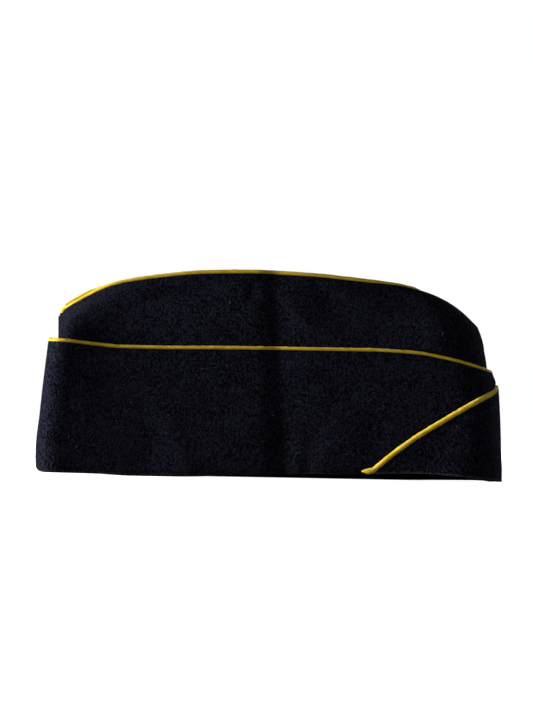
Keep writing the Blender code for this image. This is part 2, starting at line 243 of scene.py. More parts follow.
# The middle of a curtain's piping on its own side, as a share of the curtain's height. Past the front,
# the left one slants down to the rim and the right one dips under it.
CURTAIN_TOP = Table(
    "along right left",
    (-1.000, 1.035, 1.035),
    (-0.934, 1.029, 1.029),
    (-0.822, 1.008, 1.008),
    (-0.688, 0.991, 0.991),
    (-0.500, 0.990, 0.990),
    (-0.200, 0.997, 0.997),
    (0.455, 1.000, 1.000),
    (0.657, 0.987, 0.984),
    (0.791, 0.951, 0.930),
    (0.859, 0.925, 0.875),
    (0.926, 0.891, 0.800),
    (0.957, 0.872, 0.765),
    (0.981, 0.857, 0.742),
    (0.995, 0.845, 0.735),
    (1.000, 0.835, 0.733),
)
DIAGONAL = Table(
    "along height",
    (0.400, 0.068),
    (0.450, 0.072),
    (0.484, 0.113),
    (0.514, 0.159),
    (0.643, 0.330),
    (0.772, 0.473),
    (0.901, 0.607),
    (0.957, 0.664),
    (0.981, 0.688),
    (0.995, 0.712),
    (1.000, 0.733),
)
HIDDEN_TOP = Table(
    "along height",
    (0.950, 0.600),
    (0.981, 0.700),
    (0.995, 0.800),
    (1.000, 0.835),
)

# How high each side of the rim is lifted off the floor, as a share of the highest arch.
RIM_LIFT = Table(
    "along right left",
    (-1.00, 0.28, 0.28),
    (-0.75, 0.20, 0.16),
    (-0.60, 0.00, 0.10),
    (-0.42, 0.00, 0.00),
    (-0.08, 0.42, 0.00),
    (0.42, 0.78, 0.00),
    (0.62, 1.00, 0.00),
    (0.75, 0.90, 0.06),
    (0.93, 0.40, 0.12),
    (1.00, 0.05, 0.05),
)
print("ridge is highest at, mm:", round(RIDGE.rows[RIDGE.rows[:, 1].argmax(), 0] * CAP_LENGTH / MM, 1))

# %% [markdown]
# ## The walls of the cap
#
# All the layers follow one wall, and differ only in how deep they lie. Seen from above, the wall's x
# follows a cosine, which crowds the points at the two rounded ends where they are needed, and its y
# comes from the plan's fullness. Its square root makes the ends round. Towards the top a higher power
# makes the front end narrower, and a lower one makes the back corner squarer.

# %% A place on the walls


def lengthwise(u):
    """How far along the cap u lies: the cosine of pi * u, 1 at the front and -1 at the back."""
    return np.cos(np.pi * u)


def rim_height(u):
    """The lowest point of the folded rim above the floor."""
    along = lengthwise(u)
    lift = np.where(u < 0, RIM_LIFT.read("right", along), RIM_LIFT.read("left", along))
    return RIM_ARCH * lift


def crown_bottom(u):
    """The lower edge of the crown, which hangs inside the fold of the hem."""
    return rim_height(u) + CURTAIN_CLOTH + FOLD_RISE


def wall(u, height, depth, side):
    """x and y of the wall: x goes with lengthwise, y with a power of the plan's fullness there."""
    share = height / CURTAIN_HEIGHT
    taper = np.minimum(share, 1)
    back = INNER_BACK + CAP_LENGTH * CROWN_ENDS.read("back_lean", share)
    front = INNER_FRONT - CAP_LENGTH * CROWN_ENDS.read("front_lean", share)
    width = INNER_HALF_WIDTH - CROWN_TAPER * taper
    along = lengthwise(u)
    inner_x = (front + back) / 2 + (front - back) / 2 * along
    at_front = smooth_step(*ROUNDING_CHANGES, along)
    back_power = BACK_ROUNDING[0] + BACK_ROUNDING[1] * taper
    front_power = FRONT_ROUNDING[0] + FRONT_ROUNDING[1] * taper
    swell = PLAN.read("fullness", along) ** (back_power * (1 - at_front) + front_power * at_front)
    return inner_x + depth * along, side * (SEAM_GAP / 2 + (width + depth) * swell)


# %% [markdown]
# ## Folds and dents
#
# A cap that is kept folded in a drawer has one sharp crease across it, a few shorter ones beside it,
# and soft dents where it was held. They could be sculpted or simulated, but a fold is a simple thing:
# seen in section it is a bell, often steeper on one flank than on the other, and it fades out towards
# its ends. So each is a row of a table, in millimetres, with its middle, its lean, its ends, the width
# of both flanks and its depth, which is negative for a hollow. Moving all points of the cloth at
# once by the sum of the rows gives the same result every time.

# %% The folds of each piece
# The crease's flanks each have a width and a power.
CREASE_PLACE = 6.7 * MM
CREASE_LEAN = -0.066
CREASE_BACK = (11 * MM, 1.3)
CREASE_FRONT = (30 * MM, 3)
CREASE_BLUNT = 1.2 * MM
CREASE_DEPTH = 1.8 * MM
FOLD_FADE = (0.45, 1.0)
DRIFT_WAVES = 9
DRIFT_SPREAD = (0.7, 1.6)

# Columns: place, lean, low, high, steep, long, depth. Place is x half way up, lean is x per z.
FRONT_SWELL = (126.0, 0.00, -20, 95, 30.0, 6.0, 1.60)
CROWN_FOLDS = {
    -1: (
        (-12.5, 0.05, 103, 136, 2.5, 5.0, -0.75),
        (-6.0, 0.00, 74, 94, 16.0, 3.0, -0.70),
        (14.5, -0.63, 84, 122, 4.5, 5.0, 0.55),
        (36.0, -0.55, 84, 128, 11.0, 14.0, -1.10),
        (-47.0, -0.30, 100, 130, 14.0, 14.0, -0.90),
        (-127.0, 0.10, 66, 134, 4.0, 60.0, 2.40),
        (-131.0, 0.30, 62, 108, 4.0, 14.0, 1.90),
        (-94.0, 0.60, 64, 112, 20.0, 34.0, -3.20),
        (-66.0, 2.40, 98, 126, 18.0, 26.0, -1.40),
        (80.0, -0.35, 98, 124, 14.0, 10.0, -0.70),
        (102.0, -0.20, 74, 102, 9.0, 9.0, 0.80),
    ),
    1: (
        (10.0, 0.00, 84, 132, 4.5, 11.0, 0.60),
        (-48.0, 0.25, 84, 118, 12.0, 20.0, -0.60),
        (48.0, -0.30, 86, 114, 14.0, 18.0, -0.50),
        (-104.0, 0.25, 78, 97, 14.0, 26.0, -1.20),
        (92.0, -0.50, 76, 104, 9.0, 14.0, -0.80),
    ),
}
CURTAIN_FOLDS = {
    -1: (
        (9.0, 0.05, -18, 38, 11.0, 15.0, -0.90),
        (17.0, 0.10, -8, 24, 3.5, 3.5, 0.45),
        (25.0, 0.10, -8, 42, 5.0, 7.0, -0.65),
        (66.0, -0.25, -4, 38, 11.0, 7.0, -1.00),
        (-56.0, -0.30, -8, 46, 9.0, 8.0, 0.80),
        (-72.0, 0.10, 0, 32, 8.0, 7.0, -0.50),
        (-16.0, 0.00, 4, 42, 6.0, 8.0, 0.35),
        (-112.0, 0.10, 0, 80, 9.0, 24.0, 0.60),
        FRONT_SWELL,
    ),
    1: (
        (9.0, 0.02, -4, 82, 4.0, 10.0, 0.60),
        (5.0, 0.05, -12, 36, 7.0, 8.0, 0.80),
        (-30.0, 0.20, -8, 34, 9.0, 9.0, -0.60),
        (-74.0, -0.30, -8, 44, 10.0, 8.0, 0.60),
        (44.0, -0.25, -6, 40, 9.0, 12.0, -0.60),
        (84.0, 0.20, -6, 50, 10.0, 13.0, -0.50),
        (-100.0, 0.15, 15, 70, 13.0, 14.0, -0.40),
    ),
}
FLAP_FOLDS = (FRONT_SWELL, (100.0, 0.50, -6, 46, 16.0, 14.0, -0.90))


def bell(distance, width, width_after=None):
    """exp(-(d / width) squared), where the width may differ before 0 and after it."""
    if width_after is not None:
        width = np.where(distance < 0, width, width_after)
    return np.exp(-((distance / width) ** 2))


def fold_sum(folds, x, z):
    """How far all the folds push the cloth outwards, each a bell across and a smooth hump along it."""
    x, z = x / MM, z / MM
    total = 0 * (x + z)
    for place, lean, low, high, steep, long, depth in folds:
        middle, reach = (low + high) / 2, (high - low) / 2
        fade = 1 - smooth_step(*FOLD_FADE, np.abs(z - middle) / reach)
        total = total + depth * fade * bell(x - place - lean * (z - middle), steep, long)
    return total * MM


def crease(x, z):
    """How far the storage crease pushes the whole cap towards the left side.

    Each flank falls from 1 at the middle to 0 at its width as (1 - d / width) to its power, where the
    distance d is rounded near the middle.
    """
    middle = CREASE_PLACE + CREASE_LEAN * (z - CURTAIN_HEIGHT / 2)
    distance = np.hypot(x - middle, CREASE_BLUNT) - CREASE_BLUNT
    (back_width, back_power), (front_width, front_power) = CREASE_BACK, CREASE_FRONT
    back = np.clip(1 - distance / back_width, 0, 1) ** back_power
    front = np.clip(1 - distance / front_width, 0, 1) ** front_power
    return CREASE_DEPTH * np.where(x < middle, back, front)


def drift(x, z, seed, size):
    """Soft random dents: a sum of sine waves of about one size, in random directions and phases."""
    random = np.random.default_rng(seed)
    total = 0 * (x + z)
    for _ in range(DRIFT_WAVES):
        turn, phase = random.uniform(0, 2 * np.pi, 2)
        pace = 2 * np.pi / (size * random.uniform(*DRIFT_SPREAD))
        total = total + np.sin(pace * (x * np.cos(turn) + z * np.sin(turn)) + phase)
    return total / math.sqrt(DRIFT_WAVES / 2)


for side, word in SIDES.items():
    print(word, "side has", len(CROWN_FOLDS[side]) + len(CURTAIN_FOLDS[side]), "folds")

# %% [markdown]
# ## From a grid of points to a sheet of cloth
#
# Real cloth here is a millimetre or two thick and its edges are soft. A grid of points with Solidify
# gives the thickness, and a small Bevel rounds the cut edges. Each sheet also carries a UV map in
# metres along and across the cloth, so that its twill follows it round the corners. The grid's
# faces wind so that they point outwards, which is the side that the thickness is added to.

# %% Sheets
ROOT = "root"
EDGE_ROUNDING = 0.55 * MM
EDGE_ANGLE = math.radians(50)


def in_scene(name, data):
    """A new object in the scene from a mesh, or from the data of a lamp or camera."""
    obj = bpy.data.objects.new(name, data)
    bpy.context.scene.collection.objects.link(obj)
    return obj


def smooth_mesh(name, points, faces, **values):
    """A smooth-shaded mesh, with named values at its points."""
    mesh = bpy.data.meshes.new(name)
    mesh.from_pydata(points.tolist(), [], faces)
    for label, value in values.items():
        attribute = mesh.attributes.new(label, "FLOAT", "POINT")
        attribute.data.foreach_set("value", value.astype(np.float32))
    mesh.shade_smooth()
    return mesh


def finished(name, mesh, replaces=None):
    """Puts a mesh into the scene as one piece of the cap, riding on its only body."""
    obj = in_scene(name, mesh)
    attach(obj, ROOT)
    if replaces:
        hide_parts(replaces)
    return obj


def grid_faces(columns, rows, kept=None):
    """The four corners of each cell of a grid, as rows of point numbers."""
    index = np.arange(columns * rows).reshape(columns, rows)
    corners = (index[:-1, :-1], index[1:, :-1], index[1:, 1:], index[:-1, 1:])
    faces = np.stack(corners, axis=2).reshape(-1, 4)
    return faces if kept is None else faces[kept.reshape(-1)]


def cloth_lengths(points):
    """Distances in metres along both ways of a grid, each summed from its first point."""
    lengths = []
    for axis in (0, 1):
        step = np.linalg.norm(np.diff(points, axis=axis), axis=2)
        total = np.cumsum(step, axis=axis)
        lengths.append(np.insert(total, 0, 0, axis=axis))
    return np.stack(lengths, axis=2)


def sheet(name, points, thickness, kept=None, rubbed=None):
    """A sheet of cloth through a grid of points, thickened outwards, with rounded edges.

    The last argument says for each point how strongly the pale line along the rim shows there: partly
    worn nap, partly painted light from below.
    """
    columns, rows = points.shape[:2]
    faces = grid_faces(columns, rows, kept)
    used, faces = np.unique(faces, return_inverse=True)
    faces = faces.reshape(-1, 4)
    values = {} if rubbed is None else {"rubbed": rubbed.reshape(-1)[used]}
    mesh = smooth_mesh(name, points.reshape(-1, 3)[used], faces.tolist(), **values)
    lengths = cloth_lengths(points).reshape(-1, 2)[used]
    uv = mesh.uv_layers.new(name="cloth")
    uv.data.foreach_set("uv", lengths[faces.reshape(-1)].astype(np.float32).reshape(-1))
    obj = finished(name, mesh, name.replace("cloth_", ""))
    wall = obj.modifiers.new("thickness", "SOLIDIFY")
    wall.thickness = thickness
    wall.offset = 1
    soft = obj.modifiers.new("soft edges", "BEVEL")
    soft.width = EDGE_ROUNDING
    soft.segments = 2
    soft.limit_method = "ANGLE"
    soft.angle_limit = EDGE_ANGLE
    print(name, "faces:", 2 * len(faces))


# %% [markdown]
# ## The crown
#
# Each side panel goes straight up behind the curtain and then leans in to the ridge, in a curve that
# ends in a quarter of an ellipse near the front, where the two panels meet in a rounded seam. One
# grid holds both parts: its lower rows follow the wall, and its upper rows carry the wall's top line
# over to the ridge. Near the ridge the sewing pulls the cloth into small puckers, which are a fine
# wave that fades out a few millimetres below the seam.

# %% The side panels
PANEL_COLUMNS = 300
PANEL_LOWER_ROWS = 34
PANEL_UPPER_ROWS = 64
ROUNDING = (0.2, 0.39)
PUCKER_LENGTH = 7.5 * MM
PUCKER_DEPTH = 0.05 * MM
PUCKER_REACH = 6 * MM
PUCKER_WANDER = 1.5
WANDER_LENGTH = 5 * PUCKER_LENGTH
DENT_SIZE = 42 * MM
DENT_DEPTH = 0.12 * MM
PANEL_DENT_SEED = 11
PANEL_PUCKER_SEED = 21

# Folds start where the crown shows above the curtain, and fade out at the ridge and at the end seams.
CROWN_SHOWS = (0.9 * CURTAIN_HEIGHT, 1.05 * CURTAIN_HEIGHT)
RIDGE_CALM = 9 * MM
END_CALM = 0.06


def crown_edge(u, side):
    """x, half gap and height of the crown's upper edge, along the ridge and down the front seam."""
    first, last = RIDGE.rows[0, 0], RIDGE.rows[-1, 0]
    along = first + (last - first) * (1 + lengthwise(u)) / 2
    half_gap = SEAM_GAP / 2 + RIDGE_SPREAD / 2 * RIDGE.read("half_gap", along)
    rise = CURTAIN_HEIGHT + CROWN_RISE * RIDGE.read("rise", along)
    if side > 0:
        rise = rise + LEFT_RIDGE_RISE * RIDGE.read("left_rise", along)
    return CAP_LENGTH * along, half_gap, rise


def clear_of_end_seams(u):
    """0 at the front and back seams, where the sine of pi * u is 0, and 1 a little way off."""
    return smooth_step(0, END_CALM, np.abs(np.sin(np.pi * u)))


def puckers(run, distance, seed):
    """A wave along a seam, with a little drift in its length, fading with the distance from it."""
    wander = PUCKER_WANDER * drift(run, 0 * run, seed, WANDER_LENGTH)
    phase = 2 * np.pi * run / PUCKER_LENGTH + wander
    return PUCKER_DEPTH * np.sin(phase) * bell(distance, PUCKER_REACH)


def side_panel_points(side):
    """The wall up to the curtain's top, then its top line led over to the ridge by a falling curve."""
    u = np.linspace(-1, 0, PANEL_COLUMNS) if side < 0 else np.linspace(0, 1, PANEL_COLUMNS)
    u = u[:, None]
    share = np.linspace(0, 1, PANEL_LOWER_ROWS)
    height = crown_bottom(side * np.abs(u)) * (1 - share) + CURTAIN_HEIGHT * share
    x, y = wall(u, height, 0, side)
    lower = np.stack([x, y, height], axis=2)

    top_x, half_gap, top = crown_edge(u, side)
    even = np.linspace(0, 1, PANEL_UPPER_ROWS + 1)[1:]
    share = (np.sin(np.pi / 2 * even) + even) / 2
    round_share = smooth_step(*ROUNDING, top_x / CAP_LENGTH)
    fall = (1 - round_share) * share**SHOULDER + round_share * (1 - np.sqrt(1 - share**2))
    base_x, base_y = lower[:, -1:, 0], side * lower[:, -1:, 1]
    x = base_x + (top_x - base_x) * share**EDGE_DRAW
    y = side * (base_y + (half_gap - base_y) * fall)
    height = CURTAIN_HEIGHT + (top - CURTAIN_HEIGHT) * share
    points = np.concatenate([lower, np.stack([x, y, height], axis=2)], axis=1)

    x, z = points[..., 0], points[..., 2]
    relief = DENT_DEPTH * drift(x, z, PANEL_DENT_SEED + side, DENT_SIZE)
    relief = (fold_sum(CROWN_FOLDS[side], x, z) + relief) * smooth_step(0, RIDGE_CALM, top - z)
    relief = relief + puckers(x, top - z, PANEL_PUCKER_SEED + side)
    relief = relief * smooth_step(*CROWN_SHOWS, z) * clear_of_end_seams(u)
    points[..., 1] += crease(x, z) + side * relief
    return points


panels = {side: side_panel_points(side) for side in SIDES}
for side, word in SIDES.items():
    sheet(f"cloth_side_panel_{word}", panels[side], CROWN_CLOTH)

# %% [markdown]
# ## The folded-in top
#
# Between the ridges lies the gusset, a strip that hangs down in a deep fold when the cap is closed
# and spreads when it is worn. Across the cap it is half an ellipse, and its front end is a narrow
# tongue that dips under the front seam.

# %% The gusset
GUSSET_ROWS = 40
GUSSET_ENDS = (-0.436, 0.385)
PIPING_SINKS = (0.295, 0.345)
GUSSET_DENT = 0.25 * MM
GUSSET_DENT_SEED = 31


def ridge_sink(x):
    """How far the ridge piping and the gusset's edge drop between the panels at the front."""
    return (2 * PIPING_RADIUS + SEAT_GAP) * smooth_step(*PIPING_SINKS, x / CAP_LENGTH)


def gusset_points():
    """Half an ellipse hung between the two ridges, column by column."""
    u = np.linspace(-1, 0, PANEL_COLUMNS)
    x, half_gap, right = crown_edge(u, -1)
    left = crown_edge(u, 1)[2]
    half = half_gap - SEAT_GAP / 2 - GUSSET_CLOTH
    inside = (half > GUSSET_CLOTH / 2) | (x > 0)
    inside &= (x >= GUSSET_ENDS[0] * CAP_LENGTH) & (x <= GUSSET_ENDS[1] * CAP_LENGTH)
    x, half, right, left = (values[inside, None] for values in (x, half, right, left))
    half = np.maximum(half, GUSSET_CLOTH)
    depth = GUSSET_DEPTH * np.sqrt(half / half.max())
    turn = np.linspace(np.pi / 2, -np.pi / 2, GUSSET_ROWS)
    across = np.sin(turn)
    edge = right + (left - right) * (1 + across) / 2 - ridge_sink(x)
    height = edge - depth * np.cos(turn)
    y = half * across + crease(x, edge)
    dent = GUSSET_DENT * drift(x + 0 * y, height, GUSSET_DENT_SEED, DENT_SIZE / 2) * np.cos(turn) ** 2
    return np.stack([x + 0 * y, y + dent, height], axis=2)


sheet("cloth_top_gusset", gusset_points(), GUSSET_CLOTH)

# %% [markdown]
# ## The curtain
#
# The curtain is the band that is turned up round the cap. Its lower edge folds inwards round the
# crown's edge and is sewn there as a hem. The left curtain laps over the right one at the front and
# ends on the right side in a slanted edge. In section it runs down inside the crown, round half an
# ellipse under its edge, and up the outside to just below the piping, so one grid again holds all of
# it. Past the front only the outer part goes on, as a flap, and the other cells are left out.

# %% The curtains
CURTAIN_COLUMNS = 300
HEM_ROWS = 8
FOLD_ROWS = 12
LEG_ROWS = 74
HIDDEN_FLAP_END = 0.0625
FLAP_END = 0.344
DIAGONAL_END = 0.366
SEAM_STRIP = 0.004
LAYER_CHANGE = (0.09, 0.19)
STANDOFF_REACH = (0.7, 1.0)
STANDOFF_POWER = 0.7
FRONT_BULGE = 1.6 * MM
FRONT_BULGE_PLACE = 60.5 * MM
FRONT_BULGE_WIDTH = 3 * MM
FRONT_BULGE_REACH = (0.93, 1.0)
STITCH_DROP = 8.0 * MM
STITCH_GROOVE_WIDTH = 0.9 * MM
STITCH_GROOVE_DEPTH = 0.22 * MM
TUCK = 0.3 * MM
# Where the pale rim line lies and how wide it is: partly worn nap, partly painted light from below.
RIM_WEAR_AND_LIGHT_PLACE = 0.8 * MM
RIM_WEAR_AND_LIGHT_WIDTH = 0.5 * MM
PIPING_CALM = 10 * MM
CURTAIN_DENT_SEED = 41
CURTAIN_PUCKER_SEED = 51


def layer_depth(u, height, side):
    """The inner face of a curtain: on the crown, or over the other curtain past the front.

    The right curtain bulges a little at the front, just above the edge of the left one that holds it.
    """
    over = 0 if side < 0 else 1 - smooth_step(*LAYER_CHANGE, u)
    share = height / CURTAIN_HEIGHT
    at_back = smooth_step(*STANDOFF_REACH, -lengthwise(u))
    standoff = SIDE_STANDOFF * share + BACK_STANDOFF * at_back * share**STANDOFF_POWER
    bulge = 0
    if side < 0:
        bulge = FRONT_BULGE * bell(height - FRONT_BULGE_PLACE, FRONT_BULGE_WIDTH)
        bulge = bulge * smooth_step(*FRONT_BULGE_REACH, lengthwise(u))
    return FIRST_LAYER + (SECOND_LAYER - FIRST_LAYER) * over + standoff + bulge


def piping_height(u, side):
    """The middle of the piping: level on the curtain's own side, slanting down on the other."""
    along = lengthwise(u)
    own = CURTAIN_TOP.read("right" if side < 0 else "left", along)
    past_front = (HIDDEN_TOP if side < 0 else DIAGONAL).read("height", along)
    return CURTAIN_HEIGHT * np.where(u * side >= 0, own, past_front)


def curtain_relief(u, x, z, top, side):
    """Folds, soft dents, puckers under the piping and the groove that a row of stitches presses in."""
    own = u * side >= 0
    folds = np.where(own, fold_sum(CURTAIN_FOLDS[side], x, z), 0)
    if side > 0:
        folds = folds + np.where(own, 0, fold_sum(FLAP_FOLDS, x, z))
    below = top - z
    groove = bell(below - STITCH_DROP, STITCH_GROOVE_WIDTH)
    calm = smooth_step(0, PIPING_CALM, below) * clear_of_end_seams(u)
    dents = DENT_DEPTH * drift(x, z, CURTAIN_DENT_SEED + side, DENT_SIZE)
    pull = puckers(x, below, CURTAIN_PUCKER_SEED + side)
    return (folds + dents) * calm + pull - STITCH_GROOVE_DEPTH * groove


def curtain_points(side):
    """A curtain in section, hem, fold and outer leg, which of the grid's cells exist, and its pale rim
    line.

    The section lists depths and heights: the hem goes straight down, the fold is half an ellipse, and
    the leg goes straight up. A pale line along the rim, a bell across it, is partly worn nap and partly
    painted light, which stands in for the light that the floor would send up.
    """
    reach = (-1, HIDDEN_FLAP_END) if side < 0 else (-FLAP_END, 1)
    count = round(CURTAIN_COLUMNS * (reach[1] - reach[0]))
    u = np.union1d(np.linspace(*reach, count), [side * SEAM_STRIP])
    height = piping_height(u, side)
    x, y = wall(u, height, layer_depth(u, height, side), np.sign(u))
    run = np.hypot(np.gradient(x), np.gradient(y))
    slope = np.abs(np.arctan2(np.gradient(height), run))
    top = height - (PIPING_RADIUS - TUCK) / np.cos(slope)
    u, top = u[:, None], top[:, None]
    rim, fold = rim_height(u), crown_bottom(u)

    inner, outer = -FIT_GAP, layer_depth(u, fold, side)
    share = np.linspace(0, 1, HEM_ROWS + 1)[:-1]
    hem_height = fold + HEM_DEPTH * (1 - share)
    turn = np.linspace(0, np.pi, FOLD_ROWS + 1)[:-1]
    fold_depth = (inner + outer) / 2 - (outer - inner) / 2 * np.cos(turn)
    fold_height = fold - FOLD_RISE * np.sin(turn)
    own_side = u * side >= SEAM_STRIP
    leg_bottom = np.where(own_side, fold, rim if side > 0 else fold)
    share = np.linspace(0, 1, LEG_ROWS + 1)
    leg_height = leg_bottom * (1 - share) + top * share

    height = np.concatenate([hem_height, fold_height, leg_height], axis=1)
    leg_depth = layer_depth(u, leg_height, side)
    depth = np.concatenate([inner + 0 * hem_height, fold_depth, leg_depth], axis=1)
    x, y = wall(u, height, depth, np.sign(u))
    relief = curtain_relief(u, x, height, top, side)
    relief[:, :HEM_ROWS] = 0
    y = y + crease(x, height) + np.where(u < 0, -1, 1) * relief

    kept = np.ones((len(u) - 1, height.shape[1] - 1), bool)
    hem_columns = own_side[:-1, 0] & own_side[1:, 0]
    kept[~hem_columns, : HEM_ROWS + FOLD_ROWS] = False
    skin = np.concatenate([hem_height, fold_height - CURTAIN_CLOTH * np.sin(turn), leg_height], axis=1)
    # The pale rim line: partly wear, partly painted light from below.
    rubbed = bell(skin - rim - RIM_WEAR_AND_LIGHT_PLACE, RIM_WEAR_AND_LIGHT_WIDTH)
    rubbed[:, : HEM_ROWS + FOLD_ROWS // 2] = 0
    return np.stack([x, y, height], axis=2), kept, rubbed


curtains = {side: curtain_points(side) for side in SIDES}
for side, word in SIDES.items():
    points, kept, rubbed = curtains[side]
    sheet(f"cloth_curtain_{word}", points, CURTAIN_CLOTH, kept, rubbed)

# %% [markdown]
# ## The piping
#
# Piping is a cord wrapped in a strip of cloth that is cut on the slant, so its weave shows as fine
# ribs that wind round it. A curve with a bevel would give a smooth tube. Here a round profile is
# carried along the seam and turned a little from ring to ring, so the lines of the grid wind like the
# ribs and each rib is real geometry. A groove attribute remembers which points lie between two ribs,
# for the finish. The cord is thickest along the slanted edge, where it is wrapped in more cloth.

# %% A ribbed tube along a path
RIBS = 6
POINTS_ACROSS_RIB = 6
RIB_DEPTH = 0.3 * MM
TWIST_LENGTH = 9.6 * MM
RING_STEP = 0.6 * MM
CORD_WOBBLE = 0.05 * MM
WOBBLE_SIZE = 9 * MM
WOBBLE_PER_TURN = 2 * MM
END_START = 0.1 * RING_STEP
PIPING_SEED = 61
TINY = 1e-12


def unit(vectors):
    """The same vectors at length 1."""
    return vectors / np.maximum(np.linalg.norm(vectors, axis=-1, keepdims=True), TINY)


def distance_along(path):
    """How far each point of a path is from its start, summed from point to point."""
    return np.insert(np.cumsum(np.linalg.norm(np.diff(path, axis=0), axis=1)), 0, 0)


def even_path(path, step):
    """The same path with its points a fixed step apart, and the distance of each from the start."""
    run = distance_along(path[:, :3])
    even = np.linspace(0, run[-1], round(run[-1] / step) + 1)
    return np.stack([np.interp(even, run, column) for column in path.T], axis=1), even


def path_frame(path):
    """Unit vectors square to the path: upwards, and square to both, as the cross product ahead x up."""
    ahead = unit(np.gradient(path, axis=0))
    up = unit(np.array([0, 0, 1]) - ahead[:, 2:] * ahead)
    return up, np.cross(ahead, up)


def tube_walls(index):
    """The corners of a tube's walls, facing outwards, from point numbers along the tube and round it."""
    beside = np.roll(index, -1, axis=-1)
    corners = (index[..., :-1, :], beside[..., :-1, :], beside[..., 1:, :], index[..., 1:, :])
    return np.stack(corners, axis=-1).reshape(-1, 4).tolist()


def ribbed_tube(name, path, seed):
    """A circle carried along the path and twisted. Its radius follows |sin| from rib to rib.

    The path's fourth column is its radius there.
    """
    path, run = even_path(path, RING_STEP)
    path, plain_radius = path[:, :3], path[:, 3:]
    up, aside = path_frame(path)
    count = RIBS * POINTS_ACROSS_RIB
    turn = 2 * np.pi * np.arange(count) / count
    rib = np.abs(np.sin(RIBS * turn / 2))
    end = np.minimum(run, run[-1] - run) + END_START
    cap = np.sqrt(1 - (1 - np.clip(end / PIPING_RADIUS, 0, 1)) ** 2)
    wobble = CORD_WOBBLE * drift(run[:, None], WOBBLE_PER_TURN * turn, seed, WOBBLE_SIZE)
    radius = (plain_radius - RIB_DEPTH * (1 - rib) + wobble) * cap[:, None]
    turn = turn + 2 * np.pi * run[:, None] / TWIST_LENGTH
    across = np.cos(turn)[..., None] * up[:, None] + np.sin(turn)[..., None] * aside[:, None]
    rings = path[:, None] + radius[..., None] * across
    points = np.concatenate([rings.reshape(-1, 3), path[[0, -1]]])

    index = np.arange(len(path) * count).reshape(len(path), count)
    start, finish = index[0].tolist(), index[-1].tolist()
    first, last = len(points) - 2, len(points) - 1
    faces = tube_walls(index)
    faces += [(after, before, first) for before, after in zip(start, start[1:] + start[:1])]
    faces += [(before, after, last) for before, after in zip(finish, finish[1:] + finish[:1])]
    mesh = smooth_mesh(name, points, faces, groove=np.append(np.tile(1 - rib, len(path)), [1, 1]))
    print(name, "length, mm:", round(run[-1] / MM), "faces:", len(mesh.polygons))
    return mesh


# %% The piping of the ridges and of the curtains
PIPING_MOVES_IN = (0.2, 0.29)
RIDGE_PIPING_ENDS = (-0.448, 0.346)
PATH_POINTS = 900
RIDGE_PIPING_RADIUS = 1.35 * MM
CURTAIN_PIPING_RADIUS = 1.1 * MM
SLANT_PIPING_RADIUS = 1.92 * MM
SLANT_START = 0.11
SLANT_TAPER = 4.5 * MM
SLANT_TIP = 0.35


def ridge_piping_path(side):
    """Along the crown's upper edge, a little over its own radius from it, square to its slope."""
    u = np.linspace(-1, 0, PATH_POINTS)
    x, half_gap, height = crown_edge(u, side)
    seen = (x >= RIDGE_PIPING_ENDS[0] * CAP_LENGTH) & (x <= RIDGE_PIPING_ENDS[1] * CAP_LENGTH)
    slope = np.arctan2(np.gradient(height), np.gradient(x))
    reach = PIPING_RADIUS + TUCK / 3
    inwards = (PIPING_RADIUS + SEAT_GAP) * smooth_step(*PIPING_MOVES_IN, x / CAP_LENGTH)
    y = np.maximum(half_gap - SEAT_GAP - inwards, PIPING_RADIUS + SEAM_GAP / 2)
    height = height + reach * np.cos(slope) - ridge_sink(x)
    x = x - reach * np.sin(slope)
    y = side * y + crease(x, height)
    return np.stack([x, y, height, np.full(len(x), RIDGE_PIPING_RADIUS)], axis=1)[seen]


def curtain_piping_path(side):
    """Over the middle of the curtain's cloth: half a thickness square to the line of its inner face.

    The slanted part is thicker, and thins out over its last few millimetres.
    """
    reach = (-1, HIDDEN_FLAP_END) if side < 0 else (-DIAGONAL_END, 1)
    u = np.linspace(*reach, PATH_POINTS)
    height = piping_height(u, side)
    x, y = wall(u, height, layer_depth(u, height, side), np.sign(u))
    y = y + crease(x, height)
    ahead_x, ahead_y = np.gradient(x), np.gradient(y)
    length = np.hypot(ahead_x, ahead_y)
    x = x + CURTAIN_CLOTH / 2 * ahead_y / length
    y = y - CURTAIN_CLOTH / 2 * ahead_x / length
    radius = np.full(len(u), CURTAIN_PIPING_RADIUS)
    if side > 0:
        past_front = smooth_step(0, SLANT_START, -u)
        from_tip = smooth_step(0, SLANT_TAPER, np.hypot(x - x[0], height - height[0]))
        radius = radius + (SLANT_PIPING_RADIUS - CURTAIN_PIPING_RADIUS) * past_front
        radius = radius * (SLANT_TIP + (1 - SLANT_TIP) * from_tip)
    return np.stack([x, y, height, radius], axis=1)


piping_paths = {}
for side, word in SIDES.items():
    piping_paths[f"ridge_piping_{word}"] = ridge_piping_path(side)
    piping_paths[f"curtain_piping_{word}"] = curtain_piping_path(side)
for seed, (node, path) in enumerate(piping_paths.items()):
    mesh = ribbed_tube(f"ribbed_{node}", path, PIPING_SEED + seed)
    finished(f"ribbed_{node}", mesh, node)

# %% [markdown]
# ## Stitches, lint and nap
#
# Three things are too small for a sheet of cloth and too real to leave out. A row of dark thread runs
# through the curtain a few millimetres below its piping, a pale thread holds the piping of the
# slanted edge, and the wool has pale lint on it and a nap of short fibres of its own. All are the same
# form, a thin tube that tapers at its ends, copied many times. A particle system would place them too,
# but arrays that hold every copy at once are quicker to make and always come out the same.
#
# They lie on the outer faces of the sheets. A grid knows its own slopes, so its outer face is the
# grid moved along the cross product of the slopes both ways.

# %% Tapered threads, all at once
THREAD_SIDES = 5
# Places along a thread, from -1 to 1, and the share of its thickness there.
THREAD_PROFILE = ((-1.0, 0.15), (-0.75, 0.85), (0.0, 1.0), (0.75, 0.85), (1.0, 0.15))


def outer_face(points, thickness):
    """The grid moved outwards by the cloth's thickness, and its unit normals."""
    normal = unit(np.cross(np.gradient(points, axis=0), np.gradient(points, axis=1)))
    return points + thickness * normal, normal


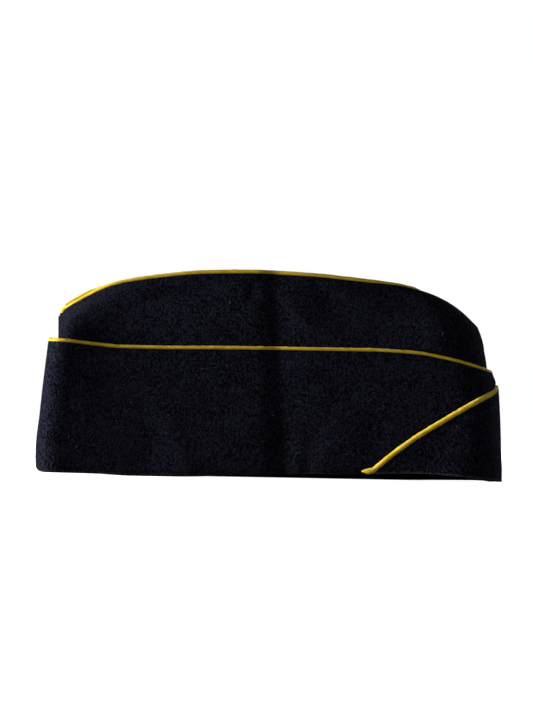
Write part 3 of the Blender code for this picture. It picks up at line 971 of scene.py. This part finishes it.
def threads(name, slot, centre, ahead, lift, length, radius, arch=0):
    """Copies of one tube with thin closed ends. At t, from -1 to 1, it rises by arch * (1 - t * t)."""
    aside = unit(np.cross(ahead, lift))
    along, thin = np.array(THREAD_PROFILE).T
    turn = 2 * np.pi * np.arange(THREAD_SIDES) / THREAD_SIDES
    length, radius, arch = (np.broadcast_to(value, len(centre)) for value in (length, radius, arch))
    middle = centre[:, None] + (length / 2)[:, None, None] * along[:, None] * ahead[:, None]
    middle = middle + arch[:, None, None] * (1 - along[:, None] ** 2) * lift[:, None]
    across = np.cos(turn)[:, None] * lift[:, None] + np.sin(turn)[:, None] * aside[:, None]
    size = radius[:, None, None, None] * thin[:, None, None]
    points = (middle[:, :, None] + size * across[:, None]).reshape(-1, 3)

    rings, copies = len(along), len(centre)
    index = np.arange(len(points)).reshape(copies, rings, THREAD_SIDES)
    ends = np.concatenate([index[:, 0, ::-1], index[:, -1]])
    mesh = smooth_mesh(name, points, tube_walls(index) + ends.tolist())
    print(name, "copies:", copies, "faces:", len(mesh.polygons))
    finished(name, mesh)


# %% The stitches
STITCH_LENGTH = 2.3 * MM
STITCH_PITCH = 3.0 * MM
STITCH_RADIUS = 0.14 * MM
STITCH_SINK = 0.1 * MM
EDGE_STITCH_PITCH = 2.4 * MM
EDGE_STITCH_LENGTH = 1.5 * MM
EDGE_STITCH_RADIUS = 0.28 * MM
EDGE_STITCH_BELOW = 0.7
EDGE_STITCH_OUT = 0.76


def stitch_row(path, lift, pitch):
    """Middles, directions and lifts of stitches a pitch apart along a path with a lift at each point."""
    both = np.concatenate([path, lift], axis=1)
    run = distance_along(path)
    at = np.arange(pitch, run[-1] - pitch, pitch)
    both = np.stack([np.interp(at, run, column) for column in both.T], axis=1)
    return both[:, :3], unit(np.gradient(both[:, :3], axis=0)), both[:, 3:]


def across_grid(grid, rows):
    """One value for each column of a grid, read between its rows at a row number with a fraction."""
    low = np.clip(np.floor(rows).astype(int), 0, grid.shape[1] - 2)
    column = np.arange(len(grid))
    part = (rows - low)[:, None]
    return grid[column, low] * (1 - part) + grid[column, low + 1] * part


def curtain_stitches(points):
    """The row of stitches that lies in the groove below the piping, on the curtain's outer face."""
    face, normal = outer_face(points, CURTAIN_CLOTH - STITCH_SINK)
    bottom, top = points[:, HEM_ROWS + FOLD_ROWS, 2], points[:, -1, 2]
    rows = HEM_ROWS + FOLD_ROWS + LEG_ROWS * (1 - STITCH_DROP / (top - bottom))
    long_enough = top - bottom > 2 * STITCH_DROP
    path, lift = across_grid(face, rows)[long_enough], across_grid(normal, rows)[long_enough]
    return stitch_row(path, lift, STITCH_PITCH)


rows = zip(*(curtain_stitches(points) for points, _, _ in curtains.values()))
row = (np.concatenate(values) for values in rows)
threads("curtain_stitches", "wool_cloth", *row, STITCH_LENGTH, STITCH_RADIUS)

# The slanted edge is the first part of the left piping's path. Its stitches lie in the corner between
# the cord and the flap, and their places are shares of the cord's radius.
slant = piping_paths["curtain_piping_left"]
slant = slant[: math.ceil(len(slant) * DIAGONAL_END / (1 + DIAGONAL_END))]
slant, slant_radius = slant[:, :3], slant[:, 3:]
up, inwards = path_frame(slant)
edge = slant - slant_radius * (EDGE_STITCH_OUT * inwards + EDGE_STITCH_BELOW * up)
row = stitch_row(edge, -inwards, EDGE_STITCH_PITCH)
threads("slant_stitches", "gold_piping", *row, EDGE_STITCH_LENGTH, EDGE_STITCH_RADIUS)

# %% Lint and the wool's own nap
# A few dozen pieces of lint, nearly flat, and thousands of fibres of nap, many standing. The bounds are
# those of their length, radius and arch.
LINT = {"count": 70, "seed": 71, "standing": 0.1}
LINT_BOUNDS = ((0.6 * MM, 2.4 * MM), (0.035 * MM, 0.09 * MM), (0, 0.3 * MM))
NAP = {"count": 4300, "seed": 72, "standing": 0.8}
NAP_BOUNDS = ((0.7 * MM, 1.9 * MM), (0.018 * MM, 0.035 * MM), (0.05 * MM, 0.35 * MM))
FIBRE_SINK = 0.05 * MM
BARE_CROWN_HEIGHT = 0.97 * CURTAIN_HEIGHT
CLEAR_OF_FLOOR = CURTAIN_CLOTH + FOLD_RISE


def scattered(grids, count, random):
    """Random places on the outer faces of some sheets, spread evenly by area, with their normals."""
    faces, normals, areas = [], [], []
    for points, thickness, kept in grids:
        face, normal = outer_face(points, thickness)
        across = np.linalg.norm(np.diff(face, axis=0)[:, :-1], axis=2)
        upwards = np.linalg.norm(np.diff(face, axis=1)[:-1], axis=2)
        faces.append(face[:-1, :-1].reshape(-1, 3))
        normals.append(normal[:-1, :-1].reshape(-1, 3))
        areas.append((across * upwards * kept).reshape(-1))
    faces, normals, areas = (np.concatenate(values) for values in (faces, normals, areas))
    chosen = random.choice(len(areas), count, p=areas / areas.sum())
    return faces[chosen], normals[chosen]


def loose_fibres(name, grids, bounds, count, seed, standing):
    """Thin threads at random places on the sheets, some lying on the cloth and some standing off it."""
    random = np.random.default_rng(seed)
    centre, normal = scattered(grids, count, random)
    turned = unit(np.cross(normal, random.normal(size=(count, 3))))
    ahead = unit(turned + standing * random.uniform(-1, 1, (count, 1)) * normal)
    lift = unit(normal - (normal * ahead).sum(axis=1, keepdims=True) * ahead)
    sizes = (random.uniform(*pair, count) for pair in bounds)
    threads(name, "wool_cloth", centre - FIBRE_SINK * normal, ahead, lift, *sizes)


# Fibres are only where the cloth shows, and not so low that they would reach into the floor.
outer_grids = []
for side in SIDES:
    bare = panels[side][:-1, :-1, 2] > BARE_CROWN_HEIGHT
    outer_grids.append((panels[side], CROWN_CLOTH, bare))
    points, kept, _ = curtains[side]
    outside = np.arange(kept.shape[1]) >= HEM_ROWS + FOLD_ROWS / 2
    off_floor = points[:-1, :-1, 2] > CLEAR_OF_FLOOR
    outer_grids.append((points, CURTAIN_CLOTH, kept & outside & off_floor))
loose_fibres("pale_lint", outer_grids, LINT_BOUNDS, **LINT)
loose_fibres("wool_nap", outer_grids, NAP_BOUNDS, **NAP)

# %% [markdown]
# ## Camera
#
# The cap is seen from its right side through a long lens, level with the middle of the picture, so
# that it shows almost no perspective. The lens follows from how many millimetres of the cap one pixel
# of the picture covers, and the picture is tilted by about a degree.

# %% The camera
PICTURE_HEIGHT = 709
SENSOR = 36
PIXEL = 0.6137 * MM
DISTANCE = 6.0
AIM_X = -2.9 * MM
AIM_Z = 75.7 * MM
TILT = math.radians(1.07)

camera_data = bpy.data.cameras.new("camera")
camera_data.sensor_width = SENSOR
camera_data.lens = SENSOR * DISTANCE / (PICTURE_HEIGHT * PIXEL)
camera = in_scene("camera", camera_data)
camera.location = (AIM_X, -DISTANCE, AIM_Z)
camera.rotation_euler = (math.pi / 2, -TILT, 0)
bpy.context.scene.camera = camera
print("lens, mm:", round(camera_data.lens, 1))

# %% [markdown]
# ## Finishes
#
# Shader graphs are easiest to read as formulas. The class below wraps one output of a node, so that
# adding or multiplying it adds a Math node, and any other node comes from its one method.

# %% Shader maths


class Signal:
    """One output of a shader node. Arithmetic on signals adds Math nodes to their tree."""

    def __init__(self, tree, socket=None):
        self.tree, self.socket = tree, socket

    def node(self, kind, settings=None, inputs=None, output=0):
        """Any node: its type, its settings, then the values or links of its sockets."""
        node = self.tree.nodes.new(kind)
        for name, value in (settings or {}).items():
            setattr(node, name, value)
        for name, value in (inputs or {}).items():
            if isinstance(value, Signal):
                self.tree.links.new(value.socket, node.inputs[name])
            else:
                node.inputs[name].default_value = value
        return Signal(self.tree, node.outputs[output]) if node.outputs else None

    def maths(self, operation, *values):
        """One Math node, with values or signals as its inputs."""
        return self.node("ShaderNodeMath", {"operation": operation}, dict(enumerate(values)))

    def __add__(self, other):
        return self.maths("ADD", self, other)

    def __sub__(self, other):
        return self.maths("SUBTRACT", self, other)

    def __rsub__(self, other):
        return self.maths("SUBTRACT", other, self)

    def __mul__(self, other):
        return self.maths("MULTIPLY", self, other)

    __radd__, __rmul__ = __add__, __mul__

    def from_to(self, low, high):
        """0 below low, 1 above high, and an S-shaped curve in between."""
        settings = {"interpolation_type": "SMOOTHSTEP"}
        return self.node("ShaderNodeMapRange", settings, {0: self, 1: low, 2: high})

    def colours(self, low, high):
        """A colour between low, where the signal is 0, and high, where it is 1.

        The colours of a Mix node are its sockets 6 and 7, and its mixed colour is its output 2.
        """
        return self.node("ShaderNodeMix", {"data_type": "RGBA"}, {0: self, 6: low, 7: high}, output=2)

    def noise(self, size, detail=2.0, roughness=0.5):
        """Noise at this place, its blotches about as large as the size in metres."""
        inputs = {"Vector": self, "Scale": 1 / size, "Detail": detail, "Roughness": roughness}
        return self.node("ShaderNodeTexNoise", None, inputs)


def weighted(shares, *signals):
    """The sum of the signals, each times its share."""
    first, *others = (signal * share for signal, share in zip(signals, shares))
    return sum(others, first)


def new_material(name):
    """An empty material, a signal without a socket to start its nodes from, and a point's place."""
    material = bpy.data.materials.new(name)
    material.use_nodes = True
    material.node_tree.nodes.clear()
    start = Signal(material.node_tree)
    return material, start, start.node("ShaderNodeTexCoord", None, None, "Object")


def finish_material(start, height, distance, inputs):
    """A Principled surface with a bump, joined to the material's output."""
    bump = start.node("ShaderNodeBump", None, {"Height": height, "Distance": distance})
    surface = start.node("ShaderNodeBsdfPrincipled", None, {"Normal": bump, **inputs})
    start.node("ShaderNodeOutputMaterial", None, {"Surface": surface})


def wear(material, first_word):
    """Gives this one material to every piece whose name starts with the word."""
    pieces = [obj for obj in bpy.data.objects if obj.name.startswith(first_word)]
    for piece in pieces:
        piece.data.materials.clear()
        piece.data.materials.append(material)
    print(material.name, "is worn by", len(pieces), "pieces")


# %% [markdown]
# ### The wool
#
# Milled wool is woven as a twill and then felted, so that its nap hides nearly all of the weave. It
# looks almost black, a little blue, and never even: the nap lies this way and that in tufts of a
# millimetre, and single hairs catch the light. An image would show its edges up close, so three sizes of
# noise make soft blotches, the tufts and the hairs, and the twill is a faint sine wave across the
# cloth's own UV map. The nap scatters all light, so there is no gloss, only a little sheen with a cool
# tint. Along the rim the cloth is paler where the attribute says so: partly nap worn off, and partly
# painted light, which stands in for light from the floor below.

# %% The wool's finish
TWILL_PITCH = 1.3 * MM
BLOTCH_SIZE = 11 * MM
BLOTCH_EDGES = (0.3, 0.7)
TUFT_SIZE = 1.15 * MM
TUFT_EDGES = (0.4, 0.62)
HAIR_SIZE = 0.75 * MM
HAIR_EDGES = (0.58, 0.76)
WORN_AND_LIT_EDGES = (0.3, 0.6)
NAP_STRETCH = (1, 1, 0.75)
NAP_HEIGHT = 2 * MM
# The shares of blotches, tufts and twill in the shade, and of tufts, hairs and twill in the height. A
# hair's share is how much of its pale colour it takes on.
SHADE_SHARES = (0.1, 0.9, 0.03)
HAIR_SHARE = 0.5
HEIGHT_SHARES = (0.6, 0.3, 0.05)
WOOL_DARK = (0.0001, 0.0001, 0.0005, 1)
WOOL_LIGHT = (0.0063, 0.0065, 0.0114, 1)
# The pale rim colour: worn nap together with painted light from below.
WOOL_WORN_AND_LIT = (0.024, 0.024, 0.028, 1)
WOOL_HAIR = (0.035, 0.036, 0.042, 1)

wool, start, place = new_material("navy wool")
cloth = start.node("ShaderNodeUVMap", {"uv_map": "cloth"})
across = cloth.node("ShaderNodeSeparateXYZ", None, {0: cloth}, "X")
upwards = cloth.node("ShaderNodeSeparateXYZ", None, {0: cloth}, "Y")
blotches = place.noise(BLOTCH_SIZE, 3)
brushed = place.node("ShaderNodeVectorMath", {"operation": "MULTIPLY"}, {0: place, 1: NAP_STRETCH})
nap_tufts = brushed.noise(TUFT_SIZE, 2, 0.6)
hairs = brushed.noise(HAIR_SIZE, 1, 0.6)
twill = ((across + upwards) * (2 * math.pi / TWILL_PITCH)).maths("SINE")
shade = weighted(SHADE_SHARES, blotches.from_to(*BLOTCH_EDGES), nap_tufts.from_to(*TUFT_EDGES), twill)
colour = shade.colours(WOOL_DARK, WOOL_LIGHT)
colour = (hairs.from_to(*HAIR_EDGES) * HAIR_SHARE).colours(colour, WOOL_HAIR)
# Painted light: a pale line along the rim, partly worn nap and partly light from below painted into the
# colour.
rubbed = start.node("ShaderNodeAttribute", {"attribute_name": "rubbed"}, None, "Fac")
colour = (rubbed * nap_tufts.from_to(*WORN_AND_LIT_EDGES)).colours(colour, WOOL_WORN_AND_LIT)
finish_material(start, weighted(HEIGHT_SHARES, nap_tufts, hairs, twill), NAP_HEIGHT, {
    "Base Color": colour,
    "Roughness": nap_tufts * 0.2 + 0.78,
    "Specular IOR Level": 0.0,
    "Sheen Weight": 0.03,
    "Sheen Roughness": 0.45,
    "Sheen Tint": (0.58, 0.64, 1.0, 1),
})
wear(wool, "cloth_")

# %% [markdown]
# ### The piping and its thread
#
# The piping's cloth is a golden yellow cotton. Light gets down between its ribs badly, so that shade is
# painted: the groove attribute darkens and warms them. A fine noise gives the threads of the cloth a
# little height, and paints shade into the hollows between them.

# %% The piping's finish
# The darkest colour is painted shade, for the grooves between the ribs and the hollows between the
# threads.
GOLD_PAINTED_SHADE = (0.11, 0.055, 0.002, 1)
GOLD_PLAIN = (0.58, 0.41, 0.014, 1)
GOLD_PALE = (0.7, 0.53, 0.07, 1)
COTTON_SIZE = 0.45 * MM
COTTON_HEIGHT = 0.12 * MM
FADED_SIZE = 6 * MM
FADED_EDGES = (0.35, 0.75)
GROOVE_EDGES = (0.25, 0.9)
COTTON_EDGES = (0.3, 0.6)
# The shares of the groove and of the hollows between the cotton's threads in the painted shade colour.
PAINTED_SHADE_SHARES = (0.75, 0.25)

gold, start, place = new_material("golden piping")
groove = start.node("ShaderNodeAttribute", {"attribute_name": "groove"}, None, "Fac")
cotton = place.noise(COTTON_SIZE, 2, 0.6)
faded = place.noise(FADED_SIZE, 2)
colour = faded.from_to(*FADED_EDGES).colours(GOLD_PLAIN, GOLD_PALE)
# Painted shade in the grooves between the ribs and in the hollows between the cotton's threads.
depth = weighted(PAINTED_SHADE_SHARES, groove.from_to(*GROOVE_EDGES), 1 - cotton.from_to(*COTTON_EDGES))
finish_material(start, cotton, COTTON_HEIGHT, {
    "Base Color": depth.maths("MINIMUM", 1).colours(colour, GOLD_PAINTED_SHADE),
    "Roughness": cotton * 0.25 + 0.65,
    "Specular IOR Level": 0.08,
    "Sheen Weight": 0.05,
    "Sheen Roughness": 0.4,
    "Sheen Tint": (1.0, 0.82, 0.3, 1),
})
wear(gold, "ribbed_")

# %% The finishes of the threads and fibres
SPUN_EDGES = (0.3, 0.7)
# For each piece: its finish's name, the dark and the light shade, and the size of its noise.
THREAD_FINISHES = {
    "curtain_stitches": ("dark thread", (0.002, 0.002, 0.004, 1), (0.012, 0.013, 0.02, 1), 0.4 * MM),
    "slant_stitches": ("pale gold thread", (0.4, 0.3, 0.07, 1), (0.72, 0.62, 0.3, 1), 0.5 * MM),
    "pale_lint": ("lint", (0.06, 0.06, 0.065, 1), (0.2, 0.2, 0.21, 1), 2 * MM),
    "wool_nap": ("nap", (0.006, 0.0065, 0.011, 1), (0.035, 0.037, 0.05, 1), 8 * MM),
}


def thread_material(name, dark, light, size):
    """A spun thread: two near shades in small noise, and a bump as fine as its twist."""
    material, start, place = new_material(name)
    twist = place.noise(size, 2)
    inputs = {
        "Base Color": twist.from_to(*SPUN_EDGES).colours(dark, light),
        "Roughness": twist * 0.2 + 0.65,
        "Specular IOR Level": 0.2,
    }
    finish_material(start, twist, size / 4, inputs)
    return material


for piece, finish in THREAD_FINISHES.items():
    wear(thread_material(*finish), piece)

# %% [markdown]
# ## Floor and light
#
# The cap stands on a plain white floor in a white room. A soft lamp stands on the left of the picture,
# nearly in the cap's own plane, so it grazes the cloth and shows each fold, and lights the back fully.
# A weaker one fills in from the camera's side, and one lights the far side. The room looks white, but
# lights the cap faintly, so that the folds stay dark. The floor glows by itself, so that it is white in
# the picture and still keeps a faint shadow, and it is hidden from rays that bounce off the cap, so
# that it sends no light up to it.

# %% The floor and the lamps
FLOOR_RADIUS = 9.0
FLOOR_GLOW = 0.84
GLOW_REACH = (0.3, 1.2)
PAPER_GRAIN = 4 * MM
PAPER_HEIGHT = 0.02 * MM
ROOM_LIGHT = 0.03

floor_mesh = bpy.data.meshes.new("floor")
corners = [(x * FLOOR_RADIUS, y * FLOOR_RADIUS, 0) for x, y in ((-1, -1), (1, -1), (1, 1), (-1, 1))]
floor_mesh.from_pydata(corners, [], [(0, 1, 2, 3)])
floor = in_scene("floor", floor_mesh)
floor.visible_diffuse = False
floor.visible_glossy = False
paper, start, place = new_material("white floor")
grain = place.noise(PAPER_GRAIN, 2)
distance = place.node("ShaderNodeVectorMath", {"operation": "LENGTH"}, {0: place}, "Value")
near_glow = (FLOOR_GLOW, FLOOR_GLOW, FLOOR_GLOW, 1)
finish_material(start, grain, PAPER_HEIGHT, {
    "Base Color": grain.colours((0.78, 0.78, 0.78, 1), (0.82, 0.82, 0.82, 1)),
    "Roughness": 0.9,
    "Emission Color": distance.from_to(*GLOW_REACH).colours(near_glow, (1, 1, 1, 1)),
    "Emission Strength": 1.0,
})
wear(paper, "floor")


def lamp(name, place, size, brightness):
    """A square lamp that faces the cap; brightness is that of white paper turned to it there."""
    aim = Vector((0, 0, CAP_HEIGHT / 2))
    place = Vector(place)
    data = bpy.data.lights.new(name, "AREA")
    data.size = size
    data.energy = brightness * (math.pi * (place - aim).length) ** 2
    obj = in_scene(name, data)
    obj.location = place
    obj.rotation_euler = (aim - place).to_track_quat("-Z", "Y").to_euler()
    print(name, "watts:", round(data.energy))


lamp("left lamp", (-1.47, -0.17, 0.11), 0.35, 6.0)
lamp("front lamp", (0.5, -1.9, 0.6), 1.2, 0.4)
lamp("far lamp", (1.0, 1.8, 0.5), 1.2, 1.1)

world = bpy.context.scene.world or bpy.data.worlds.new("white room")
bpy.context.scene.world = world
world.use_nodes = True
world.node_tree.nodes.clear()
start = Signal(world.node_tree)
seen = start.node("ShaderNodeLightPath", None, None, "Is Camera Ray")
strength = seen * (1 - ROOM_LIGHT) + ROOM_LIGHT
sky = start.node("ShaderNodeBackground", None, {"Color": (1, 1, 1, 1), "Strength": strength})
start.node("ShaderNodeOutputWorld", None, {"Surface": sky})
bpy.context.scene.view_settings.view_transform = "Standard"
